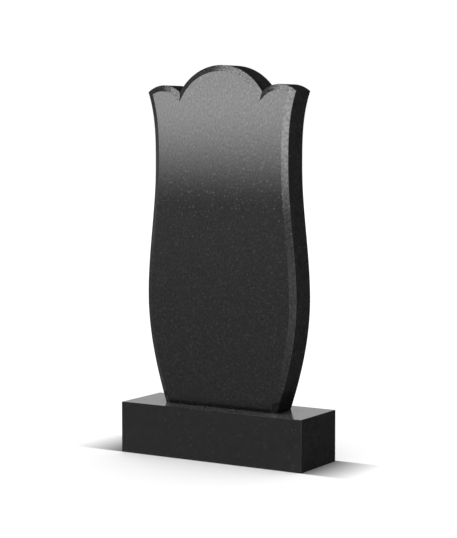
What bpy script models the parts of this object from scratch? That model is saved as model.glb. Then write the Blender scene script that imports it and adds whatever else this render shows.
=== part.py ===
"""Headstone: a stele of polished black stone on a plain base block.

Metres, +Z up. The origin is the centre of the base's underside, and the face looks along -Y.
The stele swells below, narrows above and ends in a round arch between two lobes. A slanted
chamfer runs round its front edge, except along the foot.
"""

import math

import bmesh
import bpy
from mathutils import Matrix

# Base block
BASE_WIDTH = 0.600
BASE_DEPTH = 0.200
BASE_HEIGHT = 0.148
BASE_ARRIS = 0.003
ARRIS_STEPS = 3

# Stele, with heights above its foot
STELE_HEIGHT = 0.9725
STELE_THICKNESS = 0.090
JOINT = 0.0003

# Widths across the stele
FOOT_WIDTH = 0.3715
BELLY_WIDTH = 0.494
NECK_WIDTH = 0.440
SHOULDER_WIDTH = 0.489

# Where the side is widest and narrowest, as shares of the shoulder's height
BELLY_LEVEL = 0.350
NECK_LEVEL = 0.772

# How far the side leans outwards for each metre up, at the foot and at the shoulder
FOOT_FLARE = 0.343
SHOULDER_FLARE = 0.365

# The arched top: how far the shoulders and the notches lie below the arch's crown
SHOULDER_DROP = 0.0742
ARCH_RISE = 0.0757
NOTCH_WIDTH = 0.272
LOBE_RISE = 0.020

# Chamfer round the front edge: its width seen from the front, and its depth
CHAMFER_WIDTH = 0.0175
CHAMFER_DEPTH = 0.009
# Next to the shoulder's tip the outline has no point nearer than this many mitre lengths
MITRE_CLEARANCE = 1.5
# The blank runs this many chamfer widths below the foot before the foot is sawn off
FOOT_ALLOWANCE = 2.0

# Points along each stretch of the half outline
SIDE_STEPS = 64
LOBE_STEPS = 14
ARCH_STEPS = 20

# Edges sharper than this stay crisp, and the curved flanks are shaded smooth
CRISP_ANGLE = math.radians(20)

STONE_COLOUR = (0.020, 0.020, 0.022, 1.0)
STONE_ROUGHNESS = 0.12


def clear_scene():
    for obj in list(bpy.data.objects):
        bpy.data.objects.remove(obj, do_unlink=True)


def stone(name):
    material = bpy.data.materials.new(name)
    material.use_nodes = True
    shader = material.node_tree.nodes["Principled BSDF"]
    shader.inputs["Base Color"].default_value = STONE_COLOUR
    shader.inputs["Roughness"].default_value = STONE_ROUGHNESS
    shader.inputs["Metallic"].default_value = 0.0
    return material


def add_piece(name, bm, collection):
    bmesh.ops.recalc_face_normals(bm, faces=bm.faces)
    mesh = bpy.data.meshes.new(name)
    bm.to_mesh(mesh)
    bm.free()
    mesh.materials.append(stone(name + "_stone"))
    piece = bpy.data.objects.new(name, mesh)
    collection.objects.link(piece)
    return piece


def curve_between(z, low, high):
    """Half width at z on the smooth curve between two (level, half width, lean) stations."""
    z0, width0, lean0 = low
    z1, width1, lean1 = high
    rise = z1 - z0
    t = (z - z0) / rise
    ends = (2 * t**3 - 3 * t**2 + 1) * width0 + (3 * t**2 - 2 * t**3) * width1
    leans = (t**3 - 2 * t**2 + t) * lean0 + (t**3 - t**2) * lean1
    return ends + leans * rise


def side_half_width(z):
    """Half width of the stele at z above its foot. Below the foot the side runs on straight."""
    shoulder = STELE_HEIGHT - SHOULDER_DROP
    stations = [
        (0.0, FOOT_WIDTH / 2, FOOT_FLARE),
        (shoulder * BELLY_LEVEL, BELLY_WIDTH / 2, 0.0),
        (shoulder * NECK_LEVEL, NECK_WIDTH / 2, 0.0),
        (shoulder, SHOULDER_WIDTH / 2, SHOULDER_FLARE),
    ]
    if z < 0:
        return FOOT_WIDTH / 2 + FOOT_FLARE * z
    for low, high in zip(stations, stations[1:]):
        if z <= high[0]:
            break
    return curve_between(z, low, high)


def arc_through(start, end, rise):
    """Centre, radius and end angles of the arc that bulges up by rise over the chord."""
    chord_x, chord_z = end[0] - start[0], end[1] - start[1]
    chord = math.hypot(chord_x, chord_z)
    radius = (chord**2 / 4 + rise**2) / (2 * rise)
    # The unit normal of the chord that points up
    up_x, up_z = -chord_z / chord, chord_x / chord
    if up_z < 0:
        up_x, up_z = -up_x, -up_z
    centre_x = (start[0] + end[0]) / 2 - up_x * (radius - rise)
    centre_z = (start[1] + end[1]) / 2 - up_z * (radius - rise)
    first = math.atan2(start[1] - centre_z, start[0] - centre_x)
    last = math.atan2(end[1] - centre_z, end[0] - centre_x)
    return (centre_x, centre_z), radius, first, last


def point_on(centre, radius, angle):
    return (centre[0] + radius * math.cos(angle), centre[1] + radius * math.sin(angle))


def half_outline():
    """The right half of the outline as (x, z), from below the foot up to the arch's crown.

    Both stretches that meet at the shoulder's tip keep their next point clear of the
    chamfer's mitre, so that its inner edge doesn't fold over itself there.
    """
    tip = (SHOULDER_WIDTH / 2, STELE_HEIGHT - SHOULDER_DROP)
    notch = (NOTCH_WIDTH / 2, STELE_HEIGHT - ARCH_RISE)
    lobe_centre, lobe_radius, lobe_first, lobe_last = arc_through(tip, notch, LOBE_RISE)
    other_notch = (-notch[0], notch[1])
    arch_centre, arch_radius, arch_first, _ = arc_through(notch, other_notch, ARCH_RISE)

    # The corner at the tip, between the side going down and the lobe going up
    side_heading = math.atan2(-1.0, -SHOULDER_FLARE)
    lobe_heading = lobe_first + math.pi / 2
    corner = abs((lobe_heading - side_heading + math.pi) % math.tau - math.pi)
    clear = MITRE_CLEARANCE * CHAMFER_WIDTH / math.tan(corner / 2)

    side_top = tip[1] - clear
    side_levels = [-FOOT_ALLOWANCE * CHAMFER_WIDTH]
    side_levels += [side_top * i / SIDE_STEPS for i in range(SIDE_STEPS + 1)]
    points = [(side_half_width(z), z) for z in side_levels]
    points.append(tip)

    lobe_start = lobe_first + clear / lobe_radius
    for i in range(LOBE_STEPS + 1):
        angle = lobe_start + (lobe_last - lobe_start) * i / LOBE_STEPS
        points.append(point_on(lobe_centre, lobe_radius, angle))
    for i in range(1, ARCH_STEPS + 1):
        angle = arch_first + (math.pi / 2 - arch_first) * i / ARCH_STEPS
        points.append(point_on(arch_centre, arch_radius, angle))
    return points


def make_base(collection):
    bm = bmesh.new()
    size = Matrix.Diagonal((BASE_WIDTH, BASE_DEPTH, BASE_HEIGHT, 1.0))
    lift = Matrix.Translation((0.0, 0.0, BASE_HEIGHT / 2))
    bmesh.ops.create_cube(bm, size=1.0, matrix=lift @ size)
    # Every edge is eased except those on the ground
    eased = [e for e in bm.edges if max(v.co.z for v in e.verts) > BASE_HEIGHT / 2]
    bmesh.ops.bevel(
        bm,
        geom=eased,
        offset=BASE_ARRIS,
        segments=ARRIS_STEPS,
        profile=0.5,
        affect="EDGES",
        clamp_overlap=True,
    )
    return add_piece("base", bm, collection)


def make_stele(collection):
    foot = BASE_HEIGHT + JOINT
    front = -STELE_THICKNESS / 2
    right = half_outline()
    # The crown lies on the centre line, so the left half leaves it out
    outline = right + [(-x, z) for x, z in reversed(right[:-1])]

    bm = bmesh.new()
    chamfer_back = front + CHAMFER_DEPTH
    corners = [bm.verts.new((x, chamfer_back, foot + z)) for x, z in outline]
    face = bm.faces.new(corners)
    face.normal_update()
    if face.normal.y > 0:
        face.normal_flip()
    made = bmesh.ops.extrude_face_region(bm, geom=[face])["geom"]
    moved = [g for g in made if isinstance(g, bmesh.types.BMVert)]
    body_depth = STELE_THICKNESS - CHAMFER_DEPTH
    bmesh.ops.translate(bm, verts=moved, vec=(0.0, body_depth, 0.0))
    bmesh.ops.recalc_face_normals(bm, faces=bm.faces)

    face = min(bm.faces, key=lambda f: f.normal.y)
    bmesh.ops.inset_region(
        bm,
        faces=[face],
        thickness=CHAMFER_WIDTH,
        depth=CHAMFER_DEPTH,
        use_even_offset=True,
    )

    # The foot is sawn off level, through the chamfer too
    cut = bmesh.ops.bisect_plane(
        bm,
        geom=bm.verts[:] + bm.edges[:] + bm.faces[:],
        dist=1e-6,
        plane_co=(0.0, 0.0, foot),
        plane_no=(0.0, 0.0, -1.0),
        clear_outer=True,
    )["geom_cut"]
    rim = [g for g in cut if isinstance(g, bmesh.types.BMEdge)]
    bmesh.ops.contextual_create(bm, geom=rim)
    return add_piece("stele", bm, collection)


def main():
    clear_scene()
    collection = bpy.data.collections.new("headstone")
    bpy.context.scene.collection.children.link(collection)
    for piece in (make_base(collection), make_stele(collection)):
        piece.data.shade_smooth()
        piece.data.set_sharp_from_angle(angle=CRISP_ANGLE)


main()
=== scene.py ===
"""Looks of the headstone: a slab of polished black stone on a plain base block.

Metres, +Z up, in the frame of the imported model. Both stones are surfaces worked out from their
outlines, with the chamfer mitred round the tips and notches and with the eased arrises of real
sawn and polished stone. The face, the back, the base's front and its top are polished, the
flanks and the base's ends honed and the undersides sawn. The chamfer is polished down the sides,
and ground by hand over the curved top.
"""

import math

import bmesh
import bpy
import numpy as np
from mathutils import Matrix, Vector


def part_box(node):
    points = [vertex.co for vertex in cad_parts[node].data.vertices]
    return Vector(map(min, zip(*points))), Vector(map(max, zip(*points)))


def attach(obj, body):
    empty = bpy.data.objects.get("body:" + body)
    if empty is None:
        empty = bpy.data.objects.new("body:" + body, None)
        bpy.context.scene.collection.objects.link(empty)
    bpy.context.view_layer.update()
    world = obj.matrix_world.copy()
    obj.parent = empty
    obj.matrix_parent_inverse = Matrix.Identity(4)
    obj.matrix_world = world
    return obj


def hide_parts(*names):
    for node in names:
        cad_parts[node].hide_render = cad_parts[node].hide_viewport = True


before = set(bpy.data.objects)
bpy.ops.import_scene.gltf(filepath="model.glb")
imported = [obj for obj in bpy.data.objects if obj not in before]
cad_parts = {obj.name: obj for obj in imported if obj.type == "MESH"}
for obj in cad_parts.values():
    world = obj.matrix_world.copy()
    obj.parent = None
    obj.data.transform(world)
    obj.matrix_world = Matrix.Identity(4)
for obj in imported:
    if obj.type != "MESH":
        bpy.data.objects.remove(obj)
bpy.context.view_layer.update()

BODY = "root"
base_low, base_high = (np.array(corner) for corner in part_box("base"))
stele_low, stele_high = (np.array(corner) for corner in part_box("stele"))

# Sizes of the stele, with heights above its foot
FOOT = stele_low[2]
HEIGHT = stele_high[2] - stele_low[2]
FOOT_WIDTH = 0.3715
BELLY_WIDTH = stele_high[0] - stele_low[0]
NECK_WIDTH = 0.440
SHOULDER_WIDTH = 0.489
BELLY_LEVEL = 0.350
NECK_LEVEL = 0.772
FOOT_FLARE = 0.343
SHOULDER_FLARE = 0.365
SHOULDER_DROP = 0.0742
ARCH_RISE = 0.0757
NOTCH_WIDTH = 0.272
LOBE_RISE = 0.020
CHAMFER_WIDTH = 0.0175
CHAMFER_DEPTH = 0.009

# How far the mason eases each edge
BACK_ARRIS = 0.0012
CHAMFER_ARRIS = 0.0008
FACE_ARRIS = 0.0005
BASE_ARRIS = 0.002
SOLE_ARRIS = 0.0005
ARRIS_STEPS = 5
# A row of points this far from each arris keeps the flats shaded flat
SUPPORT = 0.0006

SIDE_STEPS = 110
LOBE_STEPS = 36
ARCH_STEPS = 52
MITRE_STEPS = 6
FACE_ROWS = 6
CHAMFER_ROWS = 4
FLANK_ROWS = 5
BASE_CORNER_STEPS = 6
CREASE = math.radians(26)
# Points nearer than this are one point
MERGE = 1e-6
# How often the search for a tip halves its stretch
HALVINGS = 50
# The centre line's heights that face the tips and the notches, as shares of the crown's
SPINE_LEVELS = (0.62, 0.76)
# A face belongs to an end or to the top where its normal's share that way is more than this
SQUARE_ON = 0.97

SHOULDER = HEIGHT - SHOULDER_DROP
TIP = np.array([SHOULDER_WIDTH / 2, SHOULDER])
NOTCH = np.array([NOTCH_WIDTH / 2, HEIGHT - ARCH_RISE])

# Finishes, as places in each stone's list of materials
POLISHED, FLANK, CHAMFER, SIDE_CHAMFER, SAWN, END, FRONT, TOP = range(8)

# The stone's grain. Noise between the two ends of MOTTLE_RANGE runs the mottle from 0 to 1, and
# the mottle darkens and lightens the stone by the shares in MOTTLE_TONES.
MOTTLE_RANGE, MOTTLE_TONES = (0.34, 0.66), (0.7, 1.3)
# A fleck's outline is bent by noise of this scale by up to this length
FLECK_BEND_SCALE, FLECK_BEND = 400.0, 0.0022
# The smallest and the largest fleck and the width of its soft edge, as shares of the spacing
FLECK_SIZES, FLECK_EDGE = (0.15, 0.45), 0.2
# Slow clouds over the whole stone
CLOUD_SCALE, CLOUD_RANGE, CLOUD_TONES = 38.0, (0.3, 0.7), (0.85, 1.15)
# Crystals under this tone are the dark ones. From there up the stone is lighter by a share of
# the contrast that goes from the first to the second of PALE_TONES.
PALE_FROM, PALE_TONES = 0.45, (-0.25, 1.0)
# The painted shade beside the flanks fades out from this far inside the stele's faces to this
# far past them
CONTACT_INSIDE, CONTACT_OUTSIDE = 0.010, 0.014

# Light
FLOOR_TONE = 0.90
# How dark the painted shadow off each end of the base is next to it, how far it runs out on the
# left and on the right and past the base's back, how wide its edges are and by how much they widen
# for each metre out
SHADOW_DEPTH = 0.78
SHADOW_REACH = (0.19, 0.155)
SHADOW_BACK = 0.010
SHADOW_EDGE = 0.006
SHADOW_SPREAD = 0.15
# The floor as gloss sees it: next to the base, far off in front, and how much is added on the right
# and straight off to the left
FLOOR_NEAR, FLOOR_FAR, FLOOR_RIGHT, FLOOR_LEFT = 0.40, 0.67, 0.60, -0.13
FLOOR_RIGHT_FADE = (0.05, 1.1)
# The stretches of Y and X over which those tones come in, and how far the floor runs out
FLOOR_FAR_FADE = (-10.0, -0.5)
FLOOR_LEFT_FADE, FLOOR_LEFT_DEPTH = (-1.8, -0.4), (-1.5, -0.6)
FLOOR_REACH = 20.0
SKY_FOR_CAMERA = 1.0
SKY_FOR_DIFFUSE = 1.30
HORIZON_IN_GLOSS = 0.71
FRONT_IN_GLOSS = 0.55
FRONT_RIGHT_IN_GLOSS = 1.30
LEFT_IN_GLOSS = 0.40
SKY_IN_GLOSS = 0.06
# The band above the horizon that gloss sees bright, as heights of a way of length 1
HORIZON_FADE = (0.22, 0.36)
# The bands come in over these stretches of a way's share away from the camera, to the right and
# to the left
BEHIND_FADE, RIGHT_FADE, LEFT_FADE = (0.3, 0.95), (0.1, 0.35), (0.2, 0.8)
# The low band fades out from this height up to one of these, elsewhere and on the right
FRONT_FOOT, FRONT_TOPS = -0.01, (0.05, 0.13)
PANEL_GAP = 0.50
PANEL_TONE = 6.15
PANEL_LEFT, PANEL_RIGHT, PANEL_LEFT_FADE = -0.70, 0.95, 0.15
PANEL_LOW, PANEL_HIGH = 0.60, 2.2
PANEL_FADE = (0.690, 1.035)
# Across this stretch of heights the light's left edge moves to the right
PANEL_LEAN = (1.10, 1.45)
PANEL_LEAN_BY = 0.12
# On the right, from across this stretch, the light fades faster and is stronger by this share
PANEL_WING = (0.06, 0.36)
WING_FADE = (0.715, 0.905)
WING_SHARE = 0.12

CAMERA_PLACE = (2.5324, -4.1161, 0.9610)
CAMERA_TURN = math.radians(31.553)
CAMERA_PITCH = math.radians(4.949)
CAMERA_LENS = 113.60


def side_half_width(z):
    """Half width and lean of the side at heights z above the foot.

    Between two stations the half width is the cubic that has the stations' half widths and
    leans. Below the foot and above the shoulder the side runs on straight.
    """
    stations = [
        (0.0, FOOT_WIDTH / 2, FOOT_FLARE),
        (SHOULDER * BELLY_LEVEL, BELLY_WIDTH / 2, 0.0),
        (SHOULDER * NECK_LEVEL, NECK_WIDTH / 2, 0.0),
        (SHOULDER, SHOULDER_WIDTH / 2, SHOULDER_FLARE),
    ]
    z = np.asarray(z, float)
    width = FOOT_WIDTH / 2 + FOOT_FLARE * z
    lean = np.full_like(z, FOOT_FLARE)
    for (z0, width0, lean0), (z1, width1, lean1) in zip(stations, stations[1:]):
        rise = z1 - z0
        t = (z - z0) / rise
        here = (t >= 0) & (t <= 1)
        ends = (2 * t**3 - 3 * t**2 + 1) * width0 + (3 * t**2 - 2 * t**3) * width1
        bends = (t**3 - 2 * t**2 + t) * lean0 + (t**3 - t**2) * lean1
        end_slopes = (6 * t**2 - 6 * t) * (width0 - width1) / rise
        bend_slopes = (3 * t**2 - 4 * t + 1) * lean0 + (3 * t**2 - 2 * t) * lean1
        width = np.where(here, ends + bends * rise, width)
        lean = np.where(here, end_slopes + bend_slopes, lean)
    above = z > SHOULDER
    width = np.where(above, SHOULDER_WIDTH / 2 + SHOULDER_FLARE * (z - SHOULDER), width)
    lean = np.where(above, SHOULDER_FLARE, lean)
    return width, lean


def side_point(z, inset):
    """Points of the side at heights z, moved inwards by inset at right angles to the side."""
    width, lean = side_half_width(z)
    length = np.hypot(1.0, lean)
    return np.stack([width - inset / length, z + inset * lean / length], axis=-1)


def arc_through(start, end, rise):
    """Centre and radius of the arc that bulges up by rise over the chord from start to end."""
    chord = end - start
    length = np.hypot(*chord)
    radius = (length**2 / 4 + rise**2) / (2 * rise)
    up = np.array([-chord[1], chord[0]]) / length
    up = up * np.sign(up[1])
    return (start + end) / 2 - up * (radius - rise), radius


def angle_about(centre, point):
    return np.arctan2(point[..., 1] - centre[1], point[..., 0] - centre[0])


def outline(inset):
    """The outline moved inwards by inset, as (x, z) from the right foot over the crown to the left.

    Each stretch is moved by itself: the side along its normals, and an arc by taking inset off
    its radius. A tip ends where the moved side meets the moved lobe, found by halving. At a
    notch both moved arcs run on straight until they meet, as a mitre does. Every inset has the
    same number of points on a stretch, so that insets join row to row.
    """
    lobe_centre, lobe_radius = arc_through(TIP, NOTCH, LOBE_RISE)
    arch_centre, arch_radius = arc_through(NOTCH, NOTCH * (-1, 1), ARCH_RISE)
    lobe_now, arch_now = lobe_radius - inset, arch_radius - inset

    low, high = SHOULDER - lobe_radius / 2, SHOULDER + lobe_radius / 2
    for _ in range(HALVINGS):
        middle = (low + high) / 2
        inside = np.hypot(*(side_point(middle, inset) - lobe_centre)) < lobe_now
        low, high = (middle, high) if inside else (low, middle)
    tip = side_point(middle, inset)

    outward = np.array([(NOTCH - lobe_centre) / lobe_radius, (NOTCH - arch_centre) / arch_radius])
    mitre = NOTCH + np.linalg.solve(outward, [-inset, -inset])
    share = np.linspace(0, 1, MITRE_STEPS + 1)[:, None]

    foot = -inset * FOOT_FLARE / math.hypot(1.0, FOOT_FLARE)
    side = side_point(np.linspace(foot, middle, SIDE_STEPS + 1), inset)
    first, last = angle_about(lobe_centre, tip), angle_about(lobe_centre, NOTCH)
    turn = np.linspace(first, last, LOBE_STEPS + 1)
    lobe = lobe_centre + lobe_now * np.stack([np.cos(turn), np.sin(turn)], axis=-1)
    turn = np.linspace(angle_about(arch_centre, NOTCH), math.pi / 2, ARCH_STEPS + 1)
    arch = arch_centre + arch_now * np.stack([np.cos(turn), np.sin(turn)], axis=-1)
    down, up = lobe[-1] + (mitre - lobe[-1]) * share, mitre + (arch[0] - mitre) * share
    right = np.concatenate([side, lobe[1:], down[1:], up[1:], arch[1:]])
    left = right[-2::-1] * (-1, 1)
    return np.concatenate([right, left])


def eased(corners, radii, rows):
    """A profile with rounded corners, as points (inset, depth), without its first and last corner.

    At each corner an arc of the radius touches both sides, with a support row on either side of
    it, and rows gives how many further rows lie on the stretch before the corner.
    """
    corners = [np.array(corner, float) for corner in corners]
    points = []
    for before, corner, after, radius, count in zip(corners, corners[1:], corners[2:], radii, rows):
        back = (before - corner) / np.hypot(*(before - corner))
        ahead = (after - corner) / np.hypot(*(after - corner))
        half = math.acos(np.clip(back @ ahead, -1, 1)) / 2
        reach = radius / math.tan(half)
        middle = (back + ahead) / np.hypot(*(back + ahead))
        centre = corner + middle * radius / math.sin(half)
        first, last = corner + back * reach, corner + ahead * reach
        start = angle_about(centre, first)
        sweep = (angle_about(centre, last) - start + math.pi) % math.tau - math.pi
        turn = start + sweep * np.linspace(0, 1, ARRIS_STEPS + 1)
        run_in = corner + back * (reach + SUPPORT)
        if count:
            share = np.arange(1, count + 1)[:, None] / (count + 1)
            points += list(points[-1] + (run_in - points[-1]) * share)
        points.append(run_in)
        points += list(centre + radius * np.stack([np.cos(turn), np.sin(turn)], axis=-1))
        points.append(corner + ahead * (reach + SUPPORT))
    return np.array(points)


def grid_faces(rows, columns, first=0, closed=False):
    """Corner numbers of the quads between neighbouring rows of a grid of points."""
    row, column = np.meshgrid(
        np.arange(rows - 1), np.arange(columns if closed else columns - 1), indexing="ij"
    )
    after = (column + 1) % columns
    corners = [row * columns + column, row * columns + after]
    corners += [(row + 1) * columns + after, (row + 1) * columns + column]
    return first + np.stack(corners, axis=-1).reshape(-1, 4)


def make_piece(name, grids, node):
    """One closed mesh from grids of points, given as (points, finish of each row, closed).

    Points that meet are merged, and the faces are turned outwards.
    """
    points, faces, finishes, first = [], [], [], 0
    for grid, finish, closed in grids:
        rows, columns = grid.shape[:2]
        points.append(grid.reshape(-1, 3))
        quads = grid_faces(rows, columns, first, closed)
        faces.append(quads)
        finishes.append(np.repeat(finish, len(quads) // (rows - 1)))
        first += rows * columns
    mesh = bpy.data.meshes.new(name)
    mesh.from_pydata(np.concatenate(points), [], np.concatenate(faces))
    mesh.polygons.foreach_set("material_index", np.concatenate(finishes).astype(np.int32))
    bm = bmesh.new()
    bm.from_mesh(mesh)
    bmesh.ops.remove_doubles(bm, verts=bm.verts, dist=MERGE)
    bmesh.ops.recalc_face_normals(bm, faces=bm.faces)
    bm.to_mesh(mesh)
    bm.free()
    mesh.shade_smooth()
    mesh.set_sharp_from_angle(angle=CREASE)
    piece = bpy.data.objects.new(name, mesh)
    bpy.context.scene.collection.objects.link(piece)
    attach(piece, BODY)
    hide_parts(node)
    return piece


def in_space(flat, depth):
    """Points (x, z) of an outline put at a depth along Y, with heights from the stele's foot."""
    return np.stack([flat[:, 0], np.full(len(flat), depth), flat[:, 1] + FOOT], axis=-1)


def flat_side(inset, depth):
    """The flat inside one outline, as rows from the right half through the centre line to the left.

    A point on the centre line faces each point of the half outline. Its height climbs evenly
    from the foot to the tips' level, the notches' level and the crown, low enough for a straight
    line from any point of a lobe to stay inside the stone.
    """
    ring = outline(inset)
    half = len(ring) // 2 + 1
    right = ring[:half]
    tip_at, notch_at = SIDE_STEPS, SIDE_STEPS + LOBE_STEPS + MITRE_STEPS
    crown = right[-1, 1]
    steps = [0, tip_at, notch_at, half - 1]
    heights = [0.0, SPINE_LEVELS[0] * crown, SPINE_LEVELS[1] * crown, crown]
    spine = np.stack([np.zeros(half), np.interp(np.arange(half), steps, heights)], axis=-1)
    shares = np.linspace(0, 1, FACE_ROWS + 1)
    rows = [in_space(right + (spine - right) * share, depth) for share in shares]
    mirror = np.array([-1, 1, 1])
    rows += [row * mirror for row in rows[-2::-1]]
    return np.array(rows)


def make_stele():
    """The slab: the profile from the back's edge to the face's edge, carried round the outline."""
    front, back = stele_low[1], stele_high[1]
    corners = [
        (CHAMFER_WIDTH, back),
        (0.0, back),
        (0.0, front + CHAMFER_DEPTH),
        (CHAMFER_WIDTH, front),
        (2 * CHAMFER_WIDTH, front),
    ]
    profile = eased(corners, [BACK_ARRIS, CHAMFER_ARRIS, FACE_ARRIS], [0, FLANK_ROWS, CHAMFER_ROWS])
    rings = np.array([in_space(outline(inset), depth) for inset, depth in profile])

    arris = ARRIS_STEPS + 2
    finish = [POLISHED] * arris + [FLANK] * (FLANK_ROWS + 1)
    finish += [CHAMFER] * (arris + CHAMFER_ROWS + 1)
    finish += [POLISHED] * (len(profile) - 1 - len(finish))

    # The foot: one column of points across it for each row of the profile
    right_foot, left_foot = rings[:, 0], rings[:, -1]
    shares = np.linspace(0, 1, FACE_ROWS * 2 + 1)
    foot = np.array([right_foot + (left_foot - right_foot) * share for share in shares])

    face = flat_side(profile[-1, 0], front)
    rear = flat_side(profile[0, 0], back)
    grids = [
        (rings, finish, False),
        (face, [POLISHED] * (len(face) - 1), False),
        (rear, [POLISHED] * (len(rear) - 1), False),
        (foot, [SAWN] * (len(foot) - 1), False),
    ]
    stele = make_piece("stele_slab", grids, "stele")
    refinish(stele, CHAMFER, lambda way: np.abs(way[:, 0]) > np.abs(way[:, 2]), SIDE_CHAMFER)
    return stele


def block_ring(inset, height):
    """The block's plan moved inwards by inset, at a height, its corners as quarter circles."""
    radius = BASE_ARRIS - min(inset, BASE_ARRIS)
    centre = base_high[:2] - max(inset, BASE_ARRIS)
    turn = np.linspace(0, math.pi / 2, BASE_CORNER_STEPS + 1)
    corner = centre + radius * np.stack([np.cos(turn), np.sin(turn)], axis=-1)
    plan = np.concatenate(
        [corner, corner[::-1] * (-1, 1), corner * (-1, -1), corner[::-1] * (1, -1)]
    )
    return np.concatenate([plan, np.full((len(plan), 1), height)], axis=-1)


def make_base():
    """The block: the profile from its underside up over the top arris, carried round the plan."""
    low, high = base_low[2], base_high[2]
    half_depth = base_high[1]
    corners = [(half_depth, low), (0.0, low), (0.0, high), (half_depth, high)]
    profile = eased(corners, [SOLE_ARRIS, BASE_ARRIS], [0, FLANK_ROWS])
    rings = [block_ring(inset, height) for inset, height in profile]
    sole = [rings[0] * (1, share, 1) for share in (0.0, 0.5)]
    top = [rings[-1] * (1, share, 1) for share in (0.5, 0.0)]
    rows = np.array(sole + rings + top)
    finish = [SAWN] * 2 + [FRONT] * (len(rows) - 3)
    base = make_piece("base_block", [(rows, finish, True)], "base")
    # The ends are honed like the stele's flanks. The top is a copy of the front, its paler
    # colour painted light from above, with a faint sheen
    refinish(base, FRONT, lambda way: np.abs(way[:, 0]) > SQUARE_ON, END)
    refinish(base, FRONT, lambda way: way[:, 2] > SQUARE_ON, TOP)
    return base


def refinish(piece, finish, chosen, other):
    """Gives the faces of one finish another one where chosen holds for their normals."""
    faces = piece.data.polygons
    ways, places = np.empty(len(faces) * 3, np.float32), np.empty(len(faces), np.int32)
    faces.foreach_get("normal", ways)
    faces.foreach_get("material_index", places)
    changed = (places == finish) & chosen(ways.reshape(-1, 3))
    faces.foreach_set("material_index", np.where(changed, other, places).astype(np.int32))


class Nodes:
    """Adds nodes to a tree, and links them by name."""

    def __init__(self, tree):
        self.tree = tree

    def add(self, kind, inputs=None, **settings):
        node = self.tree.nodes.new(kind)
        for name, value in settings.items():
            setattr(node, name, value)
        for key, value in (inputs or {}).items():
            socket = node.inputs[key]
            if isinstance(value, bpy.types.NodeSocket):
                self.tree.links.new(value, socket)
            else:
                socket.default_value = value
        return node

    def math(self, operation, *values):
        node = self.add("ShaderNodeMath", dict(enumerate(values)), operation=operation)
        return node.outputs[0]

    def mix(self, share, low, high):
        inputs = {"Factor": share, "A": low, "B": high}
        return self.add("ShaderNodeMix", inputs).outputs["Result"]

    def vector(self, operation, first, second):
        inputs = {0: first, 1: second}
        return self.add("ShaderNodeVectorMath", inputs, operation=operation).outputs[0]

    def noise(self, point, scale, detail):
        inputs = {"Vector": point, "Scale": scale, "Detail": detail}
        return self.add("ShaderNodeTexNoise", inputs)

    def place(self):
        """The node that splits the shaded point's place on the object into X, Y and Z."""
        point = self.add("ShaderNodeTexCoord").outputs["Object"]
        return self.add("ShaderNodeSeparateXYZ", {0: point})

    def grey(self, tone):
        inputs = {"Red": tone, "Green": tone, "Blue": tone}
        return self.add("ShaderNodeCombineColor", inputs).outputs[0]

    def between(self, value, low, high, to_low=0.0, to_high=1.0, kind="SMOOTHSTEP"):
        inputs = {
            "Value": value,
            "From Min": low,
            "From Max": high,
            "To Min": to_low,
            "To Max": to_high,
        }
        return self.add("ShaderNodeMapRange", inputs, interpolation_type=kind).outputs["Result"]


def new_group(name, inputs, outputs):
    """A shader node group with float inputs (name, value) and outputs (name, kind)."""
    group = bpy.data.node_groups.new(name, "ShaderNodeTree")
    for label, value in inputs:
        socket = group.interface.new_socket(label, in_out="INPUT", socket_type="NodeSocketFloat")
        socket.default_value = value
    for label, kind in outputs:
        group.interface.new_socket(label, in_out="OUTPUT", socket_type=kind)
    nodes = Nodes(group)
    return group, nodes, nodes.add("NodeGroupInput"), nodes.add("NodeGroupOutput")


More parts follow.
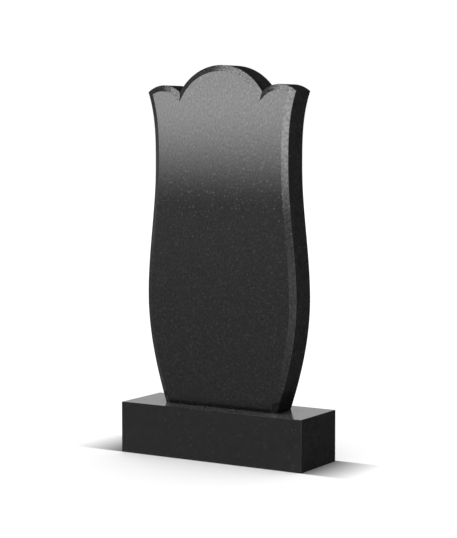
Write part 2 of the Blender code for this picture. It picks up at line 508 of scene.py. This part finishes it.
def stone_grain():
    """Colour of the stone: black crystals, dark grey ones between them and sparse pale flecks.

    Mottle goes from 0 to 1 over patches of a few crystals. Upright below 1 draws them out in
    height.
    """
    group, nodes, given, result = new_group(
        "stone_grain",
        [
            ("Crystal", 0.0032),
            ("Crystal Contrast", 0.9),
            ("Fleck Spacing", 0.011),
            ("Fleck Tone", 0.04),
            ("Dark", 0.0065),
            ("Mottle Size", 0.005),
            ("Upright", 1.0),
        ],
        [
            ("Color", "NodeSocketColor"),
            ("Crystal Tone", "NodeSocketFloat"),
            ("Mottle", "NodeSocketFloat"),
            ("Fleck", "NodeSocketFloat"),
        ],
    )
    place = nodes.add("ShaderNodeTexCoord").outputs["Object"]
    stretch = nodes.add("ShaderNodeCombineXYZ", {0: 1.0, 1: 1.0, 2: given.outputs["Upright"]})
    drawn = nodes.vector("MULTIPLY", place, stretch.outputs[0])
    scale = nodes.math("DIVIDE", 1.0, given.outputs["Mottle Size"])
    patches = nodes.noise(drawn, scale, 2.0)
    mottle = nodes.between(patches.outputs["Fac"], *MOTTLE_RANGE, 0.0, 1.0, "LINEAR")

    scale = nodes.math("DIVIDE", 1.0, given.outputs["Crystal"])
    crystals = nodes.add("ShaderNodeTexVoronoi", {"Vector": place, "Scale": scale})
    split = nodes.add("ShaderNodeSeparateColor", {"Color": crystals.outputs["Color"]})
    crystal_tone = split.outputs["Red"]

    scale = nodes.math("DIVIDE", 1.0, given.outputs["Fleck Spacing"])
    bent = nodes.noise(place, FLECK_BEND_SCALE, 1.0)
    shift = nodes.vector("MULTIPLY", bent.outputs["Color"], (FLECK_BEND,) * 3)
    moved = nodes.vector("ADD", place, shift)
    flecks = nodes.add("ShaderNodeTexVoronoi", {"Vector": moved, "Scale": scale})
    chance = nodes.add("ShaderNodeSeparateColor", {"Color": flecks.outputs["Color"]})
    size = nodes.between(chance.outputs["Green"], 0.0, 1.0, *FLECK_SIZES, "LINEAR")
    edge = nodes.math("SUBTRACT", size, flecks.outputs["Distance"])
    fleck = nodes.between(edge, 0.0, FLECK_EDGE)
    fleck = nodes.math("MULTIPLY", fleck, chance.outputs["Blue"])

    cloud = nodes.noise(place, CLOUD_SCALE, 3.0)
    cloud_tone = nodes.between(cloud.outputs["Fac"], *CLOUD_RANGE, *CLOUD_TONES, "LINEAR")
    dark = nodes.math("MULTIPLY", given.outputs["Dark"], cloud_tone)
    pale = nodes.between(crystal_tone, PALE_FROM, 1.0, *PALE_TONES, "LINEAR")
    pale = nodes.math("MULTIPLY_ADD", pale, given.outputs["Crystal Contrast"], 1.0)
    dark = nodes.math("MULTIPLY", dark, pale)
    mottled = nodes.between(mottle, 0.0, 1.0, *MOTTLE_TONES, "LINEAR")
    dark = nodes.math("MULTIPLY", dark, mottled)
    lit = nodes.math("MULTIPLY", fleck, given.outputs["Fleck Tone"])
    tone = nodes.math("ADD", dark, lit)
    nodes.tree.links.new(nodes.grey(tone), result.inputs["Color"])
    nodes.tree.links.new(crystal_tone, result.inputs["Crystal Tone"])
    nodes.tree.links.new(mottle, result.inputs["Mottle"])
    nodes.tree.links.new(fleck, result.inputs["Fleck"])
    return group


def surface_wave():
    """Normal of a worked surface: a slow wave from grinding, and a fine one from the grain.

    Upright below 1 draws the slow one out in height.
    """
    group, nodes, given, result = new_group(
        "surface_wave",
        [
            ("Wave Size", 0.02),
            ("Wave Height", 0.00002),
            ("Grain Size", 0.002),
            ("Grain Height", 0.000002),
            ("Upright", 1.0),
        ],
        [("Normal", "NodeSocketVector")],
    )
    stretch = nodes.add("ShaderNodeCombineXYZ", {0: 1.0, 1: 1.0, 2: given.outputs["Upright"]})
    place = nodes.add("ShaderNodeTexCoord").outputs["Object"]
    drawn = nodes.vector("MULTIPLY", place, stretch.outputs[0])
    waves = [(drawn, "Wave Size", "Wave Height"), (place, "Grain Size", "Grain Height")]
    heights = []
    for point, size, height in waves:
        scale = nodes.math("DIVIDE", 1.0, given.outputs[size])
        noise = nodes.noise(point, scale, 2.0)
        heights.append(nodes.math("MULTIPLY", noise.outputs["Fac"], given.outputs[height]))
    height = nodes.math("ADD", *heights)
    bump = nodes.add("ShaderNodeBump", {"Height": height, "Strength": 1.0, "Distance": 1.0})
    nodes.tree.links.new(bump.outputs["Normal"], result.inputs["Normal"])
    return group


def painted_foot_shading():
    """Painted shade near the stele's foot: gloss and colour times Tone at Low, rising to 1 at High.

    With Tone above 1 it is painted light instead.
    """
    group, nodes, given, result = new_group(
        "painted_foot_shading", [("Low", 0.0), ("High", 0.03), ("Tone", 1.0)], [("Share", "NodeSocketFloat")]
    )
    place = nodes.place()
    height = nodes.math("SUBTRACT", place.outputs["Z"], FOOT)
    low, high, tone = (given.outputs[name] for name in ("Low", "High", "Tone"))
    share = nodes.between(height, low, high, tone, 1.0, "LINEAR")
    nodes.tree.links.new(share, result.inputs["Share"])
    return group


def painted_flank_shade():
    """Painted shade on the base's top close beside the stele's flanks.

    Share is what the top keeps there of its own colour and sheen.
    """
    group, nodes, given, result = new_group(
        "painted_flank_shade", [("Reach", 0.03), ("Depth", 0.0)], [("Share", "NodeSocketFloat")]
    )
    place = nodes.place()
    out = nodes.math("SUBTRACT", nodes.math("ABSOLUTE", place.outputs["X"]), FOOT_WIDTH / 2)
    near = nodes.between(nodes.math("ABSOLUTE", out), 0.0, given.outputs["Reach"], 1.0, 0.0)
    along = nodes.math("ABSOLUTE", place.outputs["Y"])
    inside, outside = stele_high[1] - CONTACT_INSIDE, stele_high[1] + CONTACT_OUTSIDE
    beside = nodes.between(along, inside, outside, 1.0, 0.0)
    lost = nodes.math("MULTIPLY", nodes.math("MULTIPLY", near, beside), given.outputs["Depth"])
    nodes.tree.links.new(nodes.math("SUBTRACT", 1.0, lost), result.inputs["Share"])
    return group


def stone_material(name, groups, looks):
    """Stone with one finish.

    Roughness goes up and down by spread from crystal to crystal, and the gloss by the share
    patchy over the mottle. In the flecks roughness grows by dull and the gloss by sparkle. The
    painted shading near the stele's foot holds for gloss and colour, and the painted shade beside
    the flanks for colour and sheen.
    """
    grain, wave, shade, painted_contact_shade = groups
    material = bpy.data.materials.new(name)
    material.use_nodes = True
    nodes = Nodes(material.node_tree)
    shader = material.node_tree.nodes["Principled BSDF"]
    shader.inputs["Sheen Weight"].default_value = looks.get("sheen", 0.0)
    look = nodes.add("ShaderNodeGroup", looks.get("grains"), node_tree=grain)
    worked = nodes.add("ShaderNodeGroup", looks["waves"], node_tree=wave)
    rough, spread = looks["rough"], looks["spread"]
    rough = nodes.between(
        look.outputs["Crystal Tone"], 0.0, 1.0, rough - spread, rough + spread, "LINEAR"
    )
    rough = nodes.math("MULTIPLY_ADD", look.outputs["Fleck"], looks.get("dull", 0.0), rough)
    gloss, patchy = looks["gloss"], looks["patchy"]
    gloss = nodes.between(
        look.outputs["Mottle"], 0.0, 1.0, gloss * (1 - patchy), gloss * (1 + patchy), "LINEAR"
    )
    gloss = nodes.math("MULTIPLY_ADD", look.outputs["Fleck"], looks.get("sparkle", 0.0), gloss)
    tint = look.outputs["Color"]
    # Painted shading near the stele's foot: shade where Tone is under 1, light where it is above
    if "foot" in looks:
        share = nodes.add("ShaderNodeGroup", looks["foot"], node_tree=shade).outputs["Share"]
        gloss = nodes.math("MULTIPLY", gloss, share)
        tint = nodes.add("ShaderNodeVectorMath", {0: tint, "Scale": share}, operation="SCALE")
        tint = tint.outputs[0]
    # Painted shade beside the stele's flanks, on colour and sheen
    if "painted_contact_shade" in looks:
        share = nodes.add("ShaderNodeGroup", looks["painted_contact_shade"], node_tree=painted_contact_shade).outputs["Share"]
        tint = nodes.add("ShaderNodeVectorMath", {0: tint, "Scale": share}, operation="SCALE")
        tint = tint.outputs[0]
        sheen = nodes.math("MULTIPLY", share, looks["sheen"])
        material.node_tree.links.new(sheen, shader.inputs["Sheen Weight"])
    links = material.node_tree.links
    links.new(tint, shader.inputs["Base Color"])
    links.new(rough, shader.inputs["Roughness"])
    links.new(gloss, shader.inputs["Specular IOR Level"])
    links.new(worked.outputs["Normal"], shader.inputs["Normal"])
    return material


def wave_sizes(size, height, grain_size, grain_height):
    """The lengths of the slow wave and of the fine one, and how high each is."""
    return {
        "Wave Size": size,
        "Wave Height": height,
        "Grain Size": grain_size,
        "Grain Height": grain_height,
    }


def finishes():
    """The finishes of the stone, in the order of the places above."""
    groups = stone_grain(), surface_wave(), painted_foot_shading(), painted_flank_shade()
    polish = wave_sizes(0.03, 0.00002, 0.005, 0.000018)
    ground = wave_sizes(0.010, 0.00045, 0.005, 0.00030)
    sawn = wave_sizes(0.01, 0.0002, 0.0015, 0.0001)
    drawn = {"Upright": 0.4}
    fine = wave_sizes(0.010, 0.00006, 0.004, 0.00002)
    even = {"Crystal Contrast": 0.4, "Fleck Tone": 0.010, "Dark": 0.0070}
    flecked = {"Fleck Spacing": 0.0085, "Fleck Tone": 0.010, "Mottle Size": 0.0045}
    looks = {
        "polished_face": {
            "rough": 0.12, "spread": 0.03, "dull": 0.24, "gloss": 0.49, "patchy": 0.16,
            "sparkle": 0.20,
            "waves": polish | drawn | {"Grain Size": 0.009, "Grain Height": 0.00010},
            "grains": flecked | {"Upright": 0.55},
            # Painted shade over the lowest 30 mm of the face and the back
            "foot": {"Low": 0.006, "High": 0.030, "Tone": 0.75},
        },
        "honed_flank": {
            "rough": 0.60, "spread": 0.05, "gloss": 0.0, "patchy": 0.0,
            "waves": polish, "grains": even | {"Crystal Contrast": 0.3, "Dark": 0.0108},
            # Painted shade along the lowest part of the flanks
            "foot": {"Low": 0.042, "High": 0.066, "Tone": 0.56},
        },
        "ground_chamfer": {
            "rough": 0.27, "spread": 0.08, "gloss": 0.5, "patchy": 0.45,
            "waves": ground, "grains": {"Mottle Size": 0.0055},
        },
        "polished_chamfer": {
            "rough": 0.15, "spread": 0.03, "dull": 0.24, "gloss": 0.48, "patchy": 0.22,
            "sparkle": 0.20, "waves": fine, "grains": flecked | {"Mottle Size": 0.0070},
            # Painted light: the side chamfers grow lighter towards the stele's foot
            "foot": {"Low": 0.012, "High": 0.026, "Tone": 2.4},
        },
        "sawn_underside": {
            "rough": 0.65, "spread": 0.08, "gloss": 0.4, "patchy": 0.2,
            "waves": sawn, "grains": {"Dark": 0.03},
        },
        "honed_end": {
            "rough": 0.60, "spread": 0.05, "gloss": 0.0, "patchy": 0.0,
            "waves": polish, "grains": even | {"Crystal Contrast": 0.2, "Dark": 0.0106},
        },
        "polished_front": {
            "rough": 0.12, "spread": 0.03, "gloss": 0.5, "patchy": 0.06,
            "waves": polish, "grains": even,
        },
        "top_painted_lighter": {
            "rough": 0.12, "spread": 0.03, "gloss": 0.5, "patchy": 0.06, "sheen": 0.05,
            # Painted light: the top's paler Dark stands in for light falling on it from above
            "waves": polish, "grains": even | {"Dark": 0.025},
            # Painted shade on the top close beside the stele's flanks
            "painted_contact_shade": {"Reach": 0.045, "Depth": 0.9},
        },
    }
    return [stone_material(name, groups, look) for name, look in looks.items()]


def make_floor():
    """A plain white floor, with a soft shadow painted into its colour off both ends of the base.

    Gloss sees the floor darker, as it would a floor that runs out of the light, and paler far
    off in front and on the right.
    """
    mesh = bpy.data.meshes.new("floor")
    corners = [
        (side * FLOOR_REACH, depth * FLOOR_REACH, 0)
        for side, depth in [(-1, -1), (1, -1), (1, 1), (-1, 1)]
    ]
    mesh.from_pydata(corners, [], [(0, 1, 2, 3)])
    floor = bpy.data.objects.new("floor", mesh)
    bpy.context.scene.collection.objects.link(floor)
    material = bpy.data.materials.new("white_floor")
    material.use_nodes = True
    nodes = Nodes(material.node_tree)
    material.node_tree.nodes.clear()
    place = nodes.place()
    # Painted shadow: the floor's colour darkens off both ends of the base, between the lines of its
    # front and back
    along = nodes.math("ABSOLUTE", nodes.math("SUBTRACT", place.outputs["Y"], SHADOW_BACK / 2))
    out_right = nodes.math("SUBTRACT", place.outputs["X"], base_high[0])
    out_left = nodes.math("SUBTRACT", base_low[0], place.outputs["X"])
    out_left = nodes.math("MULTIPLY", out_left, SHADOW_REACH[1] / SHADOW_REACH[0])
    out = nodes.math("MAXIMUM", nodes.math("MAXIMUM", out_left, out_right), 0.0)
    end = nodes.between(out, 0.0, SHADOW_REACH[1], 1.0, 0.0, "LINEAR")
    soft = nodes.math("MULTIPLY_ADD", out, SHADOW_SPREAD, SHADOW_EDGE)
    half_depth = base_high[1] + SHADOW_BACK / 2
    edge = nodes.math("DIVIDE", nodes.math("SUBTRACT", along, half_depth), soft)
    side = nodes.between(edge, -0.5, 0.5, 1.0, 0.0)
    shade = nodes.math("MULTIPLY", nodes.math("MULTIPLY", end, side), -SHADOW_DEPTH)
    tone = nodes.math("MULTIPLY_ADD", shade, FLOOR_TONE, FLOOR_TONE)
    white = nodes.add("ShaderNodeBsdfDiffuse", {"Color": nodes.grey(tone)})
    far = nodes.between(place.outputs["Y"], *FLOOR_FAR_FADE, FLOOR_FAR, FLOOR_NEAR, "LINEAR")
    right = nodes.between(place.outputs["X"], *FLOOR_RIGHT_FADE, 0.0, FLOOR_RIGHT)
    left = nodes.between(place.outputs["X"], *FLOOR_LEFT_FADE, FLOOR_LEFT, 0.0)
    near = nodes.between(place.outputs["Y"], *FLOOR_LEFT_DEPTH)
    glow = nodes.math("MULTIPLY_ADD", left, near, nodes.math("ADD", far, right))
    dim = nodes.add("ShaderNodeEmission", {"Strength": glow})
    path = nodes.add("ShaderNodeLightPath")
    mix = nodes.add(
        "ShaderNodeMixShader",
        {0: path.outputs["Is Glossy Ray"], 1: white.outputs[0], 2: dim.outputs[0]},
    )
    nodes.add("ShaderNodeOutputMaterial", {"Surface": mix.outputs[0]})
    mesh.materials.append(material)


def make_world():
    """White to the camera, and a little brighter to diffuse light.

    Gloss sees a dim room with a pale band above the horizon behind the stele, a low band right
    at the horizon, brighter and taller to the right, and a pale side on the left.
    """
    world = bpy.data.worlds.new("studio")
    bpy.context.scene.world = world
    world.use_nodes = True
    world.cycles.sampling_method = "NONE"
    nodes = Nodes(world.node_tree)
    world.node_tree.nodes.clear()
    way = nodes.add("ShaderNodeTexCoord").outputs["Generated"]
    behind = (-math.sin(CAMERA_TURN), math.cos(CAMERA_TURN), 0.0)
    towards = nodes.add("ShaderNodeVectorMath", {0: way, 1: behind}, operation="DOT_PRODUCT")
    across = nodes.between(
        towards.outputs["Value"], *BEHIND_FADE, SKY_IN_GLOSS, HORIZON_IN_GLOSS
    )
    height = nodes.add("ShaderNodeSeparateXYZ", {0: way}).outputs["Z"]
    above = nodes.between(height, *HORIZON_FADE)
    gloss = nodes.mix(above, across, SKY_IN_GLOSS)
    aside = nodes.add("ShaderNodeVectorMath", {0: way, 1: (1.0, 0.0, 0.0)}, operation="DOT_PRODUCT")
    aside = aside.outputs["Value"]
    pale = nodes.between(aside, *RIGHT_FADE, FRONT_IN_GLOSS, FRONT_RIGHT_IN_GLOSS)
    upper = nodes.between(aside, *RIGHT_FADE, *FRONT_TOPS)
    front = nodes.between(height, FRONT_FOOT, upper, pale, 0.0)
    gloss = nodes.math("MAXIMUM", gloss, front)
    left = nodes.add("ShaderNodeVectorMath", {0: way, 1: (-1.0, 0.0, 0.0)}, operation="DOT_PRODUCT")
    left = nodes.between(left.outputs["Value"], *LEFT_FADE, 0.0, LEFT_IN_GLOSS)
    gloss = nodes.math("MAXIMUM", gloss, left)
    path = nodes.add("ShaderNodeLightPath")
    seen = nodes.mix(path.outputs["Is Glossy Ray"], SKY_FOR_DIFFUSE, gloss)
    seen = nodes.mix(path.outputs["Is Camera Ray"], seen, SKY_FOR_CAMERA)
    light = nodes.add("ShaderNodeBackground", {"Color": (1, 1, 1, 1), "Strength": seen})
    nodes.add("ShaderNodeOutputWorld", {"Surface": light.outputs[0]})


def make_panel():
    """A tall light close in front of the stele, seen by gloss alone. It fades out downwards.

    A flat rectangle: X runs from the left edge to the right one and Z from the low edge to the
    high one, at one Y. It adds its light to what is behind it.
    """
    across = np.array([PANEL_LEFT, PANEL_RIGHT])
    x, z = np.meshgrid(across, np.array([PANEL_LOW, PANEL_HIGH]))
    grid = np.stack([x, np.full_like(x, stele_low[1] - PANEL_GAP), z], axis=-1)
    mesh = bpy.data.meshes.new("light_panel")
    mesh.from_pydata(grid.reshape(-1, 3), [], grid_faces(*grid.shape[:2]))
    panel = bpy.data.objects.new("light_panel", mesh)
    bpy.context.scene.collection.objects.link(panel)
    panel.visible_camera = False
    panel.visible_diffuse = False
    panel.visible_shadow = False

    material = bpy.data.materials.new("light_panel")
    material.use_nodes = True
    nodes = Nodes(material.node_tree)
    material.node_tree.nodes.clear()
    place = nodes.place()
    wing = nodes.between(place.outputs["X"], *PANEL_WING)
    low, high = (nodes.mix(wing, end, wing_end) for end, wing_end in zip(PANEL_FADE, WING_FADE))
    up = nodes.between(place.outputs["Z"], low, high)
    lean = nodes.between(place.outputs["Z"], *PANEL_LEAN)
    side = nodes.math("MULTIPLY_ADD", lean, -PANEL_LEAN_BY, place.outputs["X"])
    side = nodes.between(side, PANEL_LEFT, PANEL_LEFT + PANEL_LEFT_FADE)
    full = nodes.math("MULTIPLY_ADD", wing, WING_SHARE * PANEL_TONE, PANEL_TONE)
    tone = nodes.math("MULTIPLY", nodes.math("MULTIPLY", up, side), full)
    glow = nodes.add("ShaderNodeEmission", {"Strength": tone})
    clear = nodes.add("ShaderNodeBsdfTransparent")
    both = nodes.add("ShaderNodeAddShader", {0: glow.outputs[0], 1: clear.outputs[0]})
    nodes.add("ShaderNodeOutputMaterial", {"Surface": both.outputs[0]})
    mesh.materials.append(material)


def make_camera():
    camera = bpy.data.objects.new("camera", bpy.data.cameras.new("camera"))
    bpy.context.scene.collection.objects.link(camera)
    camera.location = CAMERA_PLACE
    camera.rotation_euler = (math.pi / 2 - CAMERA_PITCH, 0.0, CAMERA_TURN)
    camera.data.lens = CAMERA_LENS
    bpy.context.scene.camera = camera


def main():
    stele, base = make_stele(), make_base()
    for material in finishes():
        stele.data.materials.append(material)
        base.data.materials.append(material)
    make_floor()
    make_world()
    make_panel()
    make_camera()
    bpy.context.scene.view_settings.view_transform = "Standard"


main()
